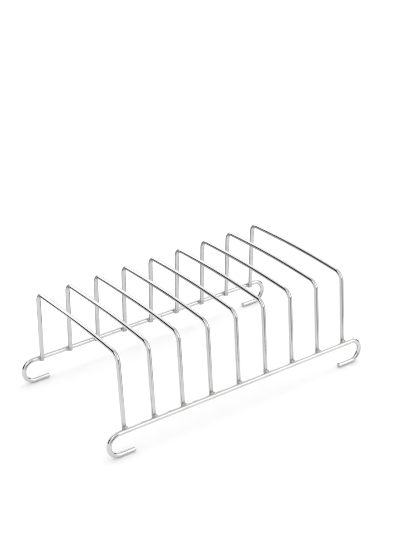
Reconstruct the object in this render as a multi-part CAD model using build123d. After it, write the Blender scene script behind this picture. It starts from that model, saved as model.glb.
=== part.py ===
from build123d import *
import os
from math import sin, cos, tan, radians, pi

# Wire toast rack: nine identical hoops spot-welded between two base rails.
# Each rail is one wire whose ends curl down and back under to make two feet.
#
# Frame: millimetres, +Z up. The origin is on the table plane, at the middle
# of the four feet. X runs across the rack, along each hoop's top bar, and Y
# runs along the rails. The left rail is on the -X side.

# ---- driving dimensions (mm, degrees) ----
hoop_count = 9            # eight slots between them
pitch = 22.0              # hoop to hoop, centre to centre
hoop_wire_d = 2.8
rail_wire_d = 3.2

crown_height = 53.0       # rail centre line up to the middle of the top bar's centre line
leg_half_width = 52.3     # middle plane to leg centre line, at rail height
leg_splay = 2.95          # each leg leans out by this angle going down
corner_r = 6.4            # centre-line radius of the two top corners
crown_half_angle = 2.9    # half the angle of the shallow arc of the top bar
leg_overrun = 0.7         # leg's cut end below the rail's centre line

weld_sink = 0.2           # how far the leg is pressed into the side of the rail
weld_r = 2.15             # radius of the squeezed-out collar round each weld
weld_half_thick = 1.15    # its half thickness along X, across the joint
weld_lift = 0.3           # collar's centre above the rail's centre line

foot_bend_r = 7.7         # centre-line radius of the half-turn of each foot
foot_overhang = 5.4       # straight rail past the end hoop, before the half-turn
foot_return = 5.3         # the lower run's cut end, inboard of the end hoop
cut_chamfer = 0.35        # deburred edge on every cut end

# ---- derived ----
hoop_wire_r = hoop_wire_d / 2
rail_wire_r = rail_wire_d / 2
rail_z = rail_wire_r + 2 * foot_bend_r
rail_x = leg_half_width + hoop_wire_r + rail_wire_r - weld_sink
y_end = pitch * (hoop_count - 1) / 2

splay = radians(leg_splay)
crown_angle = radians(crown_half_angle)
leg_angle = pi / 2 - splay    # slope of the leg, where the corner arc ends
# Top bar radius that lets crown, corner and leg join tangentially
# and puts the leg at leg_half_width at rail height
crown_r = (leg_half_width - crown_height * tan(splay)
           - corner_r * ((sin(leg_angle) - sin(crown_angle))
                         - (cos(crown_angle) - cos(leg_angle)) * tan(splay))
           ) / (sin(crown_angle) - (1 - cos(crown_angle)) * tan(splay))


def bent_wire(edges, radius):
    """A round wire swept along tangent edges, with both cut ends deburred."""
    path = Wire(edges)
    start = Plane(origin=path @ 0, z_dir=path % 0)
    wire = sweep(start * Circle(radius), path=path)
    rims = []
    for end in (path @ 0, path @ 1):
        flats = wire.faces().filter_by(GeomType.PLANE)
        rims += list(min(flats, key=lambda face: (face.center() - end).length).edges())
    return chamfer(rims, cut_chamfer)


def corner_point(angle):
    """X and height above the rail of the +X corner arc, where its slope is angle."""
    start_x = crown_r * sin(crown_angle)
    start_z = crown_height - crown_r * (1 - cos(crown_angle))
    return (start_x + corner_r * (sin(angle) - sin(crown_angle)),
            start_z - corner_r * (cos(crown_angle) - cos(angle)))


def hoop_wire(y):
    """One inverted-U hoop: splayed legs, small corners, shallow crowned top bar."""
    def left_and_right(x, z):
        return (-x, y, rail_z + z), (x, y, rail_z + z)

    foot_l, foot_r = left_and_right(leg_half_width + leg_overrun * tan(splay), -leg_overrun)
    leg_l, leg_r = left_and_right(*corner_point(leg_angle))
    mid_l, mid_r = left_and_right(*corner_point((leg_angle + crown_angle) / 2))
    bar_l, bar_r = left_and_right(*corner_point(crown_angle))
    edges = [
        Line(foot_l, leg_l),
        ThreePointArc(leg_l, mid_l, bar_l),
        ThreePointArc(bar_l, (0, y, rail_z + crown_height), bar_r),
        ThreePointArc(bar_r, mid_r, leg_r),
        Line(leg_r, foot_r),
    ]
    return bent_wire(edges, hoop_wire_r)


def rail_wire(x):
    """One rail with the two feet bent from its own ends."""
    y_bend = y_end + foot_overhang
    y_tip = y_end - foot_return
    low = rail_wire_r
    mid = low + foot_bend_r
    edges = [
        Line((x, -y_tip, low), (x, -y_bend, low)),
        ThreePointArc((x, -y_bend, low), (x, -y_bend - foot_bend_r, mid), (x, -y_bend, rail_z)),
        Line((x, -y_bend, rail_z), (x, y_bend, rail_z)),
        ThreePointArc((x, y_bend, rail_z), (x, y_bend + foot_bend_r, mid), (x, y_bend, low)),
        Line((x, y_bend, low), (x, y_tip, low)),
    ]
    return bent_wire(edges, rail_wire_r)


def weld_collar(side, y):
    """A pancake of squeezed-out metal round a leg-to-rail contact; side is -1 or 1."""
    contact_x = side * (rail_x - rail_wire_r + weld_sink / 2)
    with BuildPart() as collar:
        with BuildSketch(Plane.XY):
            Ellipse(weld_half_thick, weld_r)
            # keep only the half on one side of the axis of revolution
            Rectangle(4 * weld_half_thick, 2 * weld_r,
                      align=(Align.CENTER, Align.MAX), mode=Mode.SUBTRACT)
        revolve(axis=Axis.X)
    return Pos(contact_x, y, rail_z + weld_lift) * collar.part


def largest_solid(shape):
    return max(shape.solids(), key=lambda solid: solid.volume)


# ---- build ----
sides = {"left_rail": -1, "right_rail": 1}
rails = {name: rail_wire(side * rail_x) for name, side in sides.items()}
welds = {name: [] for name in sides}
wires = dict(rails)

for i in range(hoop_count):
    y = i * pitch - y_end
    hoop = hoop_wire(y)
    # each leg has a shallow saddle where it was pressed into the rail's side
    wires[f"hoop_{i + 1}"] = hoop - rails["left_rail"] - rails["right_rail"]
    for name, side in sides.items():
        welds[name].append(largest_solid(weld_collar(side, y) - rails[name] - hoop))

# ---- export ----
os.makedirs("parts", exist_ok=True)
for name, wire in wires.items():
    solid = largest_solid(wire)
    solid.label = name
    export_step(solid, f"parts/{name}.step")
for name, collars in welds.items():
    group = Compound(label=f"{name}_welds", children=collars)
    export_step(group, f"parts/{name}_welds.step")
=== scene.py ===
import math
import bpy
from mathutils import Matrix, Vector


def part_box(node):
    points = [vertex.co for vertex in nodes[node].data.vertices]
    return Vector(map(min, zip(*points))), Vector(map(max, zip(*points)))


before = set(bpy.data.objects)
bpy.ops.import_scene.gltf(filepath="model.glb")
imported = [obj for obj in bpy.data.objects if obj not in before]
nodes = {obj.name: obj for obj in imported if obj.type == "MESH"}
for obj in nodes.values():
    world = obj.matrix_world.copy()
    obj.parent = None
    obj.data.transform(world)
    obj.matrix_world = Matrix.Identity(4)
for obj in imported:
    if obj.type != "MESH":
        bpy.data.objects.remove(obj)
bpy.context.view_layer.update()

scene = bpy.context.scene
scene.view_settings.view_transform = "Standard"
scene.view_settings.look = "None"
scene.view_settings.exposure = 0.0
scene.view_settings.gamma = 1.0
scene.cycles.filter_width = 1.0         # keeps thin dark lines on thin wire crisp


# ------------------------------------------------------------------ node helpers
class Graph:
    """Small helper for building shader graphs in code."""

    def __init__(self, tree):
        self.t = tree

    def new(self, kind, **props):
        n = self.t.nodes.new(kind)
        for k, v in props.items():
            setattr(n, k, v)
        return n

    def put(self, socket, value):
        if isinstance(value, bpy.types.NodeSocket):
            self.t.links.new(value, socket)
        else:
            socket.default_value = value

    def math(self, op, *args, clamp=False):
        n = self.new("ShaderNodeMath", operation=op, use_clamp=clamp)
        for s, v in zip(n.inputs, args):
            self.put(s, v)
        return n.outputs[0]

    def step(self, x, lo, hi):
        """0 below lo, 1 above hi, smooth between."""
        n = self.new("ShaderNodeMapRange", interpolation_type="SMOOTHSTEP", clamp=True)
        self.put(n.inputs["Value"], x)
        self.put(n.inputs["From Min"], lo)
        self.put(n.inputs["From Max"], hi)
        return n.outputs[0]

    def ramp(self, x, lo, hi, a, b):
        """a below lo, b above hi, straight between."""
        n = self.new("ShaderNodeMapRange", clamp=True)
        for s, v in zip(n.inputs, (x, lo, hi, a, b)):
            self.put(s, v)
        return n.outputs[0]

    def noise(self, vector, detail=2.0, rough=0.5, distortion=0.0):
        n = self.new("ShaderNodeTexNoise")
        self.put(n.inputs["Vector"], vector)
        self.put(n.inputs["Scale"], 1.0)
        self.put(n.inputs["Detail"], detail)
        self.put(n.inputs["Roughness"], rough)
        self.put(n.inputs["Distortion"], distortion)
        return n.outputs[0]

    def vec(self, *xyz):
        n = self.new("ShaderNodeCombineXYZ")
        for s, v in zip(n.inputs, xyz):
            self.put(s, v)
        return n.outputs[0]

    def add(self, a, b):
        return self.math("ADD", a, b)

    def mul(self, a, b):
        return self.math("MULTIPLY", a, b)

    def tint(self, f, a, b):
        """Colour mix; a and b are colours or colour sockets."""
        n = self.new("ShaderNodeMix", data_type="RGBA")
        self.put(n.inputs[0], f)
        for sock, c in ((n.inputs[6], a), (n.inputs[7], b)):
            self.put(sock, c if isinstance(c, bpy.types.NodeSocket) else (*c, 1.0))
        return n.outputs[2]

    def mix(self, f, a, b):
        n = self.new("ShaderNodeMix", data_type="FLOAT")
        self.put(n.inputs[0], f)
        self.put(n.inputs[2], a)
        self.put(n.inputs[3], b)
        return n.outputs[0]


# ------------------------------------------------------------------ camera
AZ, EL, ROLL = 55.596, 26.864, -1.415          # degrees
CAM_POS = (0.63474, -0.42522, 0.46572)         # metres, row frame
F_PX = 1297.57                                 # focal length over pixel size
IMG_W, IMG_H = 405, 539


def camera():
    az, el, ro = (math.radians(v) for v in (AZ, EL, ROLL))
    d = Vector((-math.sin(az) * math.cos(el), math.cos(az) * math.cos(el), -math.sin(el)))
    right = d.cross(Vector((0, 0, 1))).normalized()
    up = right.cross(d)
    r2 = math.cos(ro) * right + math.sin(ro) * up
    u2 = -math.sin(ro) * right + math.cos(ro) * up
    m = Matrix((r2, u2, -d)).transposed().to_4x4()
    m.translation = Vector(CAM_POS)
    data = bpy.data.cameras.new("camera")
    data.sensor_width = 36.0
    data.sensor_fit = "AUTO"
    data.lens = F_PX * 36.0 / max(IMG_W, IMG_H)
    data.clip_start = 0.01
    cam = bpy.data.objects.new("camera", data)
    cam.matrix_world = m
    scene.collection.objects.link(cam)
    scene.camera = cam


camera()


# ------------------------------------------------------------------ studio
# Bright wire only shows its surroundings, so what the reflections see is laid
# out by direction: softboxes, and dark gaps between them. x, y and z below are
# the parts of a unit direction.
DEG = 180.0 / math.pi
SKY = 1.12          # soft all-round light on everything matt


def sector(g, az, a0, a1, soft):
    """1 between azimuths a0 and a1, with soft sides."""
    mid, half = (a0 + a1) / 2.0, (a1 - a0) / 2.0
    off = g.math("ABSOLUTE", g.math("WRAP", g.math("SUBTRACT", az, mid), 180.0, -180.0))
    return g.math("SUBTRACT", 1.0, g.step(off, half - soft, half + soft))


def band(g, v, v0, v1, soft):
    """1 between v0 and v1, with soft ends."""
    lo = g.step(v, v0 - soft, v0 + soft)
    hi = g.math("SUBTRACT", 1.0, g.step(v, v1 - soft, v1 + soft))
    return g.math("MULTIPLY", lo, hi)


def azimuth(g, x, y):
    return g.math("MULTIPLY", g.math("ARCTAN2", y, x), DEG)


def elevation(g, z):
    return g.math("MULTIPLY", g.math("ARCSINE", z), DEG)


def gap_front_left(g, x, y, z):
    """The dark gap that draws the long black line on the top bars: it climbs from below the horizon on the far left to well above it nearer the front. Its front part draws the outer dark streak on the foot bends."""
    turn = g.math("MULTIPLY", g.math("ARCTAN2", z, g.math("MULTIPLY", y, -1.0)), DEG)
    mid = g.math("ADD", g.ramp(x, -0.800, -0.777, -26.0, 4.0), g.ramp(x, -0.777, -0.735, 0.0, 28.0))
    off = g.math("ABSOLUTE", g.math("SUBTRACT", turn, mid))
    f = g.math("SUBTRACT", 1.0, g.step(off, 21.0, 32.0))
    f = g.math("MULTIPLY", f, band(g, x, -0.835, -0.640, 0.02))
    high = g.math("MULTIPLY", band(g, x, -0.715, -0.160, 0.03), band(g, turn, 3.0, 64.0, 5.0))
    front = g.math("MULTIPLY", band(g, x, -0.190, 0.050, 0.03), band(g, turn, 3.0, 38.0, 3.0))
    high = g.math("MAXIMUM", high, front)
    low = g.math("MULTIPLY", sector(g, azimuth(g, x, y), -188.0, -151.0, 3.0), band(g, z, -0.17, 0.21, 0.03))
    low = g.math("MULTIPLY", low, 0.4)
    f = g.math("MAXIMUM", f, g.math("MAXIMUM", high, low))
    return g.math("MULTIPLY", f, g.step(z, -0.46, -0.41))


def gap_camera_side(g, x, y, z):
    """The room behind the camera, seen low in the foot bends: dim, and unlit to its right."""
    low = g.math("MULTIPLY", band(g, z, -0.44, 0.22, 0.04), g.step(x, 0.45, 0.60))
    dim = g.math("MULTIPLY", low, band(g, y, -0.60, 0.32, 0.03))
    unlit = g.math("MULTIPLY", low, band(g, y, 0.03, 0.32, 0.03))
    return dim, unlit


def gap_behind(g, x, y, z):
    return g.math("MULTIPLY", sector(g, azimuth(g, x, y), 74.0, 116.0, 4.0), band(g, z, -0.6, 0.24, 0.04))


def direction_level(g, x, y, z):
    az, el = azimuth(g, x, y), elevation(g, z)
    level = g.mix(g.step(el, 40.0, 75.0), 1.02, 0.86)
    for a0, a1, e0, e1, soft, value in (
        (128.0, 238.0, 6.0, 43.0, 4.0, 1.57),     # long softbox on the left
        (18.0, 62.0, 8.0, 50.0, 4.0, 1.85),       # softbox behind on the right
        (-118.0, -42.0, 40.0, 66.0, 4.0, 1.6),    # softbox high in front
    ):
        f = g.math("MULTIPLY", sector(g, az, a0, a1, soft), band(g, el, e0, e1, soft))
        level = g.mix(f, level, value)
    level = g.mix(gap_behind(g, x, y, z), level, 0.10)
    dim, unlit = gap_camera_side(g, x, y, z)
    level = g.mix(dim, level, 0.45)
    level = g.mix(unlit, level, 0.03)
    return g.mix(gap_front_left(g, x, y, z), level, 0.0)


def studio_world():
    w = bpy.data.worlds.new("studio")
    scene.world = w
    w.use_nodes = True
    t = w.node_tree
    g = Graph(t)
    bg = t.nodes["Background"]
    co = g.new("ShaderNodeTexCoord")
    sep = g.new("ShaderNodeSeparateXYZ")
    t.links.new(co.outputs["Generated"], sep.inputs[0])
    level = direction_level(g, *sep.outputs)
    lp = g.new("ShaderNodeLightPath")
    strength = g.mix(lp.outputs["Is Glossy Ray"], SKY, level)
    strength = g.mix(lp.outputs["Is Camera Ray"], strength, 1.0)
    t.links.new(strength, bg.inputs["Strength"])
    bg.inputs["Color"].default_value = (1, 1, 1, 1)


studio_world()


def area_light(name, loc, target, size, power):
    data = bpy.data.lights.new(name, "AREA")
    data.shape = "SQUARE"
    data.size = size
    data.energy = power
    o = bpy.data.objects.new(name, data)
    o.location = loc
    o.rotation_euler = (Vector(target) - Vector(loc)).to_track_quat("-Z", "Y").to_euler()
    scene.collection.objects.link(o)
    o.visible_camera = False
    o.visible_glossy = False
    return o


# weak key from high behind: shadows fall a little towards the front
area_light("key", (-0.12, 0.63, 1.00), (0, 0, 0), 0.40, 1.6)


def plane(name, corners, material):
    me = bpy.data.meshes.new(name)
    me.from_pydata(corners, [], [tuple(range(len(corners)))])
    o = bpy.data.objects.new(name, me)
    scene.collection.objects.link(o)
    me.materials.append(material)
    return o


def floor_material():
    """Matt pale paper. Seen in the wire it carries painted reflections: an emission, for reflected rays only, paints
    the studio's dark gaps onto it a little away from the wire, and a painted dark patch on the left.
    """
    m = bpy.data.materials.new("floor_paper")
    m.use_nodes = True
    t = m.node_tree
    g = Graph(t)
    b = t.nodes["Principled BSDF"]
    b.inputs["Base Color"].default_value = (0.93, 0.93, 0.93, 1)
    b.inputs["Roughness"].default_value = 0.95
    b.inputs["Specular IOR Level"].default_value = 0.0
    geo = g.new("ShaderNodeNewGeometry")
    pos = g.new("ShaderNodeSeparateXYZ")
    t.links.new(geo.outputs["Position"], pos.inputs[0])
    px, py, pz = pos.outputs
    inc = g.new("ShaderNodeSeparateXYZ")
    t.links.new(geo.outputs["Incoming"], inc.inputs[0])
    x, y, z = (g.math("MULTIPLY", v, -1.0) for v in inc.outputs)
    lp = g.new("ShaderNodeLightPath")
    away = lp.outputs["Ray Length"]

    # painted dark patch on the left, behind a slanting edge: painted shade, seen only in the wire's reflection
    left = g.math("ADD", g.math("MULTIPLY", g.math("ADD", px, 0.088), -0.82), g.math("MULTIPLY", g.math("ADD", py, 0.085), 0.57))
    left = g.math("MULTIPLY", g.step(left, -0.004, 0.008), g.step(g.math("MULTIPLY", px, -1.0), 0.080, 0.090))

    dim, unlit = gap_camera_side(g, x, y, z)
    total = None
    level = 1.0
    for f, value in (
        (g.math("MULTIPLY", left, 0.85), 0.20),
        (g.math("MULTIPLY", gap_behind(g, x, y, z), g.step(away, 0.060, 0.090)), 0.10),
        (g.math("MULTIPLY", dim, g.step(away, 0.060, 0.090)), 0.55),
        (unlit, 0.03),
        (g.math("MULTIPLY", gap_front_left(g, x, y, z), g.step(away, 0.110, 0.140)), 0.0),
    ):
        level = g.mix(f, level, value)
        total = f if total is None else g.math("MAXIMUM", total, f)
    # emission for reflected rays only: painted reflections of the dark gaps and the painted dark patch on the paper
    e = g.new("ShaderNodeEmission")
    t.links.new(level, e.inputs["Strength"])
    mx = g.new("ShaderNodeMixShader")
    t.links.new(g.math("MULTIPLY", total, lp.outputs["Is Glossy Ray"]), mx.inputs[0])
    t.links.new(b.outputs[0], mx.inputs[1])
    t.links.new(e.outputs[0], mx.inputs[2])
    t.links.new(mx.outputs[0], t.nodes["Material Output"].inputs["Surface"])
    return m


S = 6.0
plane("floor", [(-S, -S, 0), (S, -S, 0), (S, S, 0), (-S, S, 0)], floor_material())


# ------------------------------------------------------------------ sizes, in mm, from the model's own boxes
def box_mm(node):
    lo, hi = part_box(node)
    return [v * 1000.0 for v in lo], [v * 1000.0 for v in hi]


rail_lo, rail_hi = box_mm("right_rail")
hoop_lo, hoop_hi = box_mm("hoop_1")
next_lo, next_hi = box_mm("hoop_2")
RAIL_R = (rail_hi[0] - rail_lo[0]) / 2.0
RAIL_X = (rail_hi[0] + rail_lo[0]) / 2.0
BEND_R = (rail_hi[2] - 2.0 * RAIL_R) / 2.0      # centre-line radius of the foot bends
BEND_Y = rail_hi[1] - RAIL_R - BEND_R
MID_Z = RAIL_R + BEND_R
RAIL_Z = rail_hi[2] - RAIL_R
HOOP_R = (hoop_hi[1] - hoop_lo[1]) / 2.0
BAR_Z = hoop_hi[2] - HOOP_R
HOOP_Y = (hoop_hi[1] + hoop_lo[1]) / 2.0
PITCH = (next_hi[1] + next_lo[1]) / 2.0 - HOOP_Y
LEG_X = RAIL_X - RAIL_R - HOOP_R                # leg centre line beside the rail
SPLAY = math.tan(math.radians(2.95))
CORNER_R = 6.4
CROWN_R = 900.0
TIP_Y = -HOOP_Y - 5.3                           # cut ends of the feet


# ------------------------------------------------------------------ materials
def object_mm(g):
    co = g.new("ShaderNodeTexCoord")
    sep = g.new("ShaderNodeSeparateXYZ")
    g.t.links.new(co.outputs["Object"], sep.inputs[0])
    return [g.mul(v, 1000.0) for v in sep.outputs]


def length2(g, a, b):
    return g.math("SQRT", g.add(g.mul(a, a), g.mul(b, b)))


def to_weld(g, x, y, z):
    """Distance in mm to the nearest joint of a leg and a rail."""
    dx = g.math("SUBTRACT", g.math("ABSOLUTE", x), RAIL_X - RAIL_R)
    dy = g.math("PINGPONG", g.add(y, -HOOP_Y), PITCH / 2.0)
    dz = g.math("SUBTRACT", z, RAIL_Z + 0.3)
    return length2(g, length2(g, dx, dy), dz)


def rail_axes(g, x, y, z):
    """Two offsets across the rail's wire and one length along it, following the foot bends."""
    u = g.math("SUBTRACT", g.math("ABSOLUTE", x), RAIL_X)
    past = g.math("MAXIMUM", g.math("SUBTRACT", g.math("ABSOLUTE", y), BEND_Y), 0.0)
    zc = g.math("SUBTRACT", z, MID_Z)
    v = g.math("SUBTRACT", length2(g, past, zc), BEND_R)
    return u, v, g.add(y, zc)


def hoop_axes(g, x, y, z):
    """The same for a hoop: offsets across the wire and a length along it, round the corners."""
    up = g.math("SUBTRACT", z, RAIL_Z)
    out = g.math("SUBTRACT", g.add(g.math("ABSOLUTE", x), g.mul(up, SPLAY)), LEG_X - CORNER_R)
    crown = g.add(z, g.mul(g.mul(x, x), 0.5 / CROWN_R))
    top = g.math("SUBTRACT", crown, BAR_Z - CORNER_R)
    v = g.math("SUBTRACT", length2(g, g.math("MAXIMUM", out, 0.0), g.math("MAXIMUM", top, 0.0)), CORNER_R)
    u = g.math("SUBTRACT", g.math("PINGPONG", g.add(y, PITCH * 0.5 - HOOP_Y), PITCH), PITCH * 0.5)
    return u, v, g.math("SUBTRACT", z, x)


def plated_wire(name, axes, colour, end_mask, weld):
    """Bright plated drawn wire: fine lengthwise draw lines under the plate, a slow ripple in it, handling smudges, hairline scratches, sparse pinholes, and a dull heat-tinted zone round each weld."""
    m = bpy.data.materials.new(name)
    m.use_nodes = True
    t = m.node_tree
    g = Graph(t)
    b = t.nodes["Principled BSDF"]
    b.inputs["Metallic"].default_value = 1.0
    x, y, z = object_mm(g)
    u, v, s = axes(g, x, y, z)
    here = g.vec(x, y, z)

    # draw lines: very fine across the wire, long along it
    lines = g.noise(g.vec(g.mul(u, 7.0), g.mul(v, 7.0), g.mul(s, 0.10)), detail=3.0, rough=0.6)
    coarse = g.noise(g.vec(g.mul(u, 1.7), g.mul(v, 1.7), g.mul(s, 0.035)), detail=1.0)
    # the plate's slow ripple, 3 to 6 mm long
    ripple = g.noise(g.vec(g.mul(x, 0.24), g.mul(y, 0.24), g.mul(z, 0.24)), detail=1.0)
    # handling smudges, 10 mm and up
    smudge = g.noise(g.vec(g.mul(x, 0.085), g.mul(y, 0.085), g.mul(z, 0.085)), detail=4.0, rough=0.62, distortion=0.6)
    smudge = g.step(smudge, 0.50, 0.72)
    # hairline scratches running round and along
    hair = g.noise(g.vec(g.mul(x, 0.9), g.mul(y, 5.5), g.mul(z, 0.9)), detail=1.0, distortion=1.8)
    hair = g.math("SUBTRACT", 1.0, g.step(g.math("ABSOLUTE", g.math("SUBTRACT", hair, 0.5)), 0.003, 0.010))
    hair = g.mul(hair, g.step(g.noise(g.vec(g.mul(x, 0.16), g.mul(y, 0.16), g.mul(z, 0.16)), detail=0.0), 0.55, 0.66))
    # pinholes
    vor = g.new("ShaderNodeTexVoronoi")
    g.put(vor.inputs["Vector"], here)
    g.put(vor.inputs["Scale"], 0.7)
    pin = g.math("SUBTRACT", 1.0, g.step(vor.outputs["Distance"], 0.03, 0.07))
    pin = g.mul(pin, g.step(g.noise(g.vec(g.mul(x, 0.31), g.mul(y, 0.31), g.mul(z, 0.31)), detail=0.0), 0.64, 0.72))

    # weld zone
    mottle = g.noise(g.vec(g.mul(x, 1.3), g.mul(y, 1.3), g.mul(z, 1.3)), detail=4.0, rough=0.7)
    d = g.add(to_weld(g, x, y, z), g.mul(g.math("SUBTRACT", mottle, 0.5), 2.4))
    core = g.mul(weld, g.math("SUBTRACT", 1.0, g.step(d, 2.0, 4.2)))
    straw = g.mul(g.step(d, 2.6, 3.8), g.math("SUBTRACT", 1.0, g.step(d, 4.2, 6.0)))
    blue = g.mul(g.step(d, 4.6, 6.0), g.math("SUBTRACT", 1.0, g.step(d, 6.4, 9.0)))
    end = end_mask(g, x, y, z)

    r0, g0, b0 = colour
    c = g.tint(g.mul(smudge, 0.55), colour, (r0 * 0.935, g0 * 0.935, b0 * 0.95))
    c = g.tint(g.mul(g.step(coarse, 0.35, 0.70), 0.45), c, (r0 * 0.95, g0 * 0.94, b0 * 0.93))
    c = g.tint(g.mul(lines, 0.10), c, (r0 * 0.86, g0 * 0.86, b0 * 0.87))
    c = g.tint(g.mul(blue, 0.22), c, (r0 * 0.86, g0 * 0.89, b0 * 0.96))
    c = g.tint(g.mul(straw, 0.26), c, (r0 * 0.90, g0 * 0.85, b0 * 0.77))
    c = g.tint(g.mul(core, g.ramp(mottle, 0.30, 0.70, 0.95, 0.55)), c, (0.270, 0.265, 0.262))
    c = g.tint(g.mul(end, 0.7), c, (r0 * 0.72, g0 * 0.71, b0 * 0.70))
    c = g.tint(g.mul(pin, 0.5), c, (0.20, 0.19, 0.18))
    g.put(b.inputs["Base Color"], c)

    r = g.add(0.045, g.mul(lines, 0.030))
    r = g.add(r, g.mul(smudge, 0.055))
    r = g.add(r, g.mul(hair, 0.10))
    r = g.add(r, g.mul(core, 0.22))
    r = g.add(r, g.mul(g.math("MAXIMUM", straw, blue), 0.04))
    r = g.add(r, g.mul(end, 0.16))
    g.put(b.inputs["Roughness"], g.add(r, g.mul(pin, 0.2)))

    # heights in metres
    h = g.mul(lines, 0.0000012)
    h = g.add(h, g.mul(ripple, 0.0000160))
    h = g.add(h, g.mul(hair, -0.0000015))
    h = g.add(h, g.mul(pin, -0.0000050))
    h = g.add(h, g.mul(g.mul(core, mottle), 0.0000900))
    h = g.add(h, g.mul(end, g.mul(g.noise(g.vec(g.mul(x, 9.0), 0.0, g.mul(z, 1.2)), detail=2.0), 0.0000300)))
    bump = g.new("ShaderNodeBump")
    g.put(bump.inputs["Height"], h)
    g.put(bump.inputs["Strength"], 1.0)
    g.put(bump.inputs["Distance"], 1.0)
    g.put(b.inputs["Normal"], bump.outputs[0])
    return m


def foot_ends(g, x, y, z):
    """The sheared, plated-over ends of the two lower runs."""
    f = g.math("SUBTRACT", 1.0, g.step(g.math("ABSOLUTE", y), TIP_Y + 0.15, TIP_Y + 0.55))
    return g.mul(f, g.math("SUBTRACT", 1.0, g.step(z, 2.0 * RAIL_R, 2.0 * RAIL_R + 1.0)))


def leg_ends(g, x, y, z):
    return g.math("SUBTRACT", 1.0, g.step(z, RAIL_Z - 0.6, RAIL_Z - 0.2))


def weld_metal(name):
    """Squeezed-out weld metal, plated over: dull, lumpy, with soot-dark hollows and a straw and blue bloom at its rim."""
    m = bpy.data.materials.new(name)
    m.use_nodes = True
    t = m.node_tree
    g = Graph(t)
    b = t.nodes["Principled BSDF"]
    b.inputs["Metallic"].default_value = 1.0
    x, y, z = object_mm(g)
    lumps = g.noise(g.vec(g.mul(x, 1.1), g.mul(y, 1.1), g.mul(z, 1.1)), detail=3.0, rough=0.6, distortion=0.4)
    grain = g.noise(g.vec(g.mul(x, 6.0), g.mul(y, 6.0), g.mul(z, 6.0)), detail=3.0, rough=0.7)
    d = g.add(to_weld(g, x, y, z), g.mul(g.math("SUBTRACT", lumps, 0.5), 0.8))
    rim = g.step(d, 1.5, 2.2)
    hollow = g.math("SUBTRACT", 1.0, g.step(lumps, 0.36, 0.52))
    c = g.tint(g.mul(grain, 0.6), (0.54, 0.535, 0.53), (0.40, 0.392, 0.385))
    c = g.tint(g.mul(rim, 0.30), c, (0.54, 0.50, 0.43))
    c = g.tint(g.mul(g.mul(rim, g.step(grain, 0.5, 0.62)), 0.35), c, (0.43, 0.47, 0.52))
    c = g.tint(g.mul(hollow, 0.70), c, (0.17, 0.165, 0.16))
    g.put(b.inputs["Base Color"], c)
    r = g.add(0.26, g.mul(grain, 0.22))
    g.put(b.inputs["Roughness"], g.add(r, g.mul(hollow, 0.15)))
    h = g.add(g.mul(lumps, 0.00012), g.mul(grain, 0.000018))
    bump = g.new("ShaderNodeBump")
    g.put(bump.inputs["Height"], h)
    g.put(bump.inputs["Strength"], 1.0)
    g.put(bump.inputs["Distance"], 1.0)
    g.put(b.inputs["Normal"], bump.outputs[0])
    return m


# the rails use a lighter copy of the hoops' plated colour: painted light, so the rails read brighter than the hoops
rail_mat = plated_wire("rail_wire_plated", rail_axes, (0.650, 0.650, 0.654), foot_ends, 0.30)
hoop_mat = plated_wire("hoop_wire_plated", hoop_axes, (0.618, 0.618, 0.622), leg_ends, 0.72)
weld_mat = weld_metal("weld_metal_plated")
for n, o in nodes.items():
    m = weld_mat if n.endswith("_welds") else rail_mat if n.endswith("_rail") else hoop_mat
    o.data.materials.clear()
    o.data.materials.append(m)
